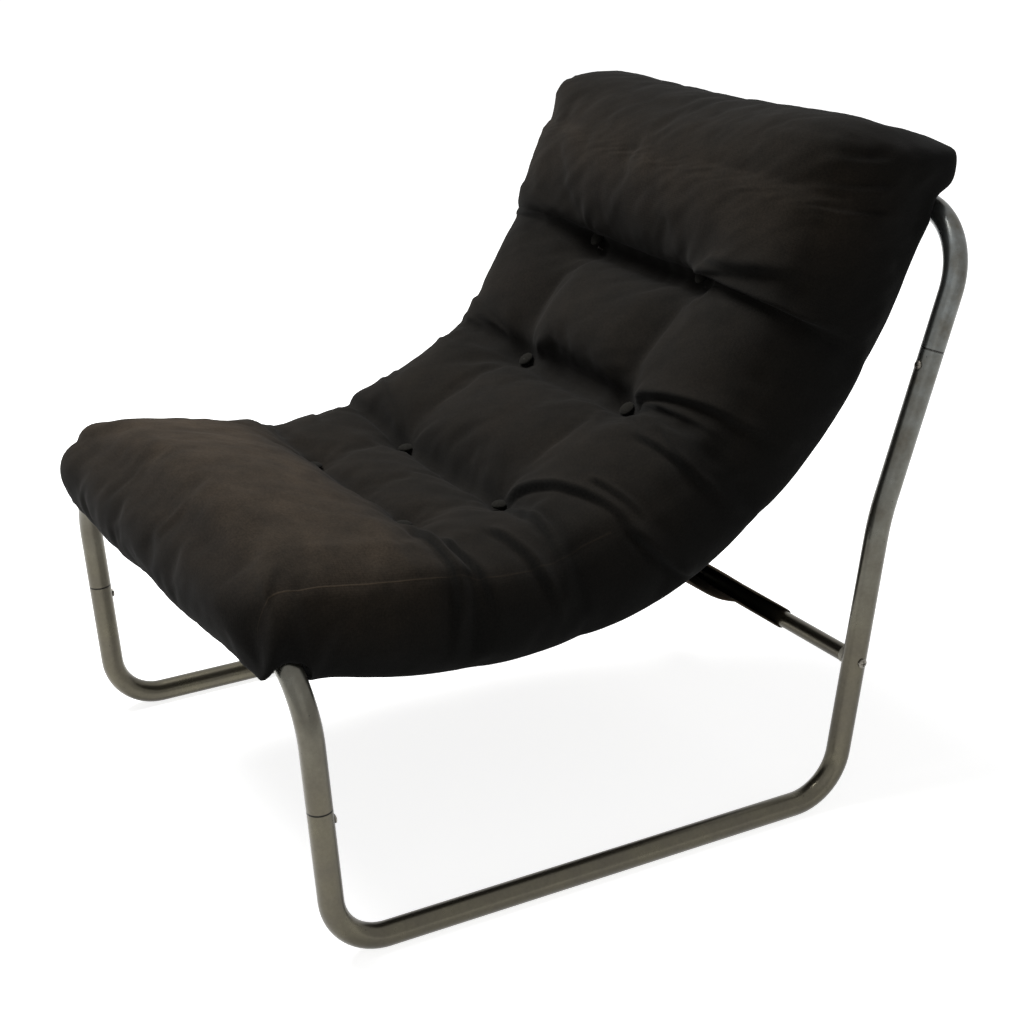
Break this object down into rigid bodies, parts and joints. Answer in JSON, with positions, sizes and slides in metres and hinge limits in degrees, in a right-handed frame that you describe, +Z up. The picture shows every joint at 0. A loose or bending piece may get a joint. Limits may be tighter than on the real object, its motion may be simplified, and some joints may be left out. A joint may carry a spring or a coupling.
{
  "type": "tubular steel lounge chair",
  "caption": "Armless lounge chair: bent steel tube frame with bolted joints, a hung canvas sling and a thick button-tufted black canvas mattress cushion running from seat to headrest.",
  "frame": {"origin": "on the floor, under the middle of the whole chair's bounding box", "axes": "+X to the sitter's left, -Y the way the sitter faces, +Z up"},
  "size_m": [0.6334, 0.8043, 0.7164],
  "materials": {
    "steel_tube": "satin bare steel with a worn, brownish patina",
    "spigot_steel": "plain drawn tube, hidden in the joints",
    "saddle_plastic": "moulded pale grey washer",
    "plug_steel": "turned and tapped, hidden in the stretcher",
    "zinc_fasteners": "zinc plated, dulled",
    "sling_canvas": "heavy cotton canvas, washed black",
    "cushion_canvas": "cotton canvas, washed black, faded on the crowns",
    "button_canvas": "canvas covered tufting buttons",
    "tuft_twine": "waxed twine",
    "anchor_felt": "pressed felt washers under the tufts"
  },
  "bodies": {
    "root": {"left_side_frame": "steel_tube", "right_side_frame": "steel_tube", "front_rail": "steel_tube", "top_rail": "steel_tube", "rear_stretcher": "steel_tube", "front_left_spigot": "spigot_steel", "front_right_spigot": "spigot_steel", "top_left_spigot": "spigot_steel", "top_right_spigot": "spigot_steel", "left_stretcher_saddle": "saddle_plastic", "right_stretcher_saddle": "saddle_plastic", "left_stretcher_plug": "plug_steel", "right_stretcher_plug": "plug_steel", "front_joint_screws": "zinc_fasteners", "top_joint_screws": "zinc_fasteners", "left_stretcher_bolt": "zinc_fasteners", "right_stretcher_bolt": "zinc_fasteners", "canvas_sling": "sling_canvas", "stretcher_loop": "sling_canvas", "mattress_cushion": "cushion_canvas", "front_roll_buttons": "button_canvas", "seat_buttons": "button_canvas", "back_buttons": "button_canvas", "headrest_buttons": "button_canvas", "tuft_twines": "tuft_twine", "tuft_anchors": "anchor_felt"}
  },
  "joints": []
}
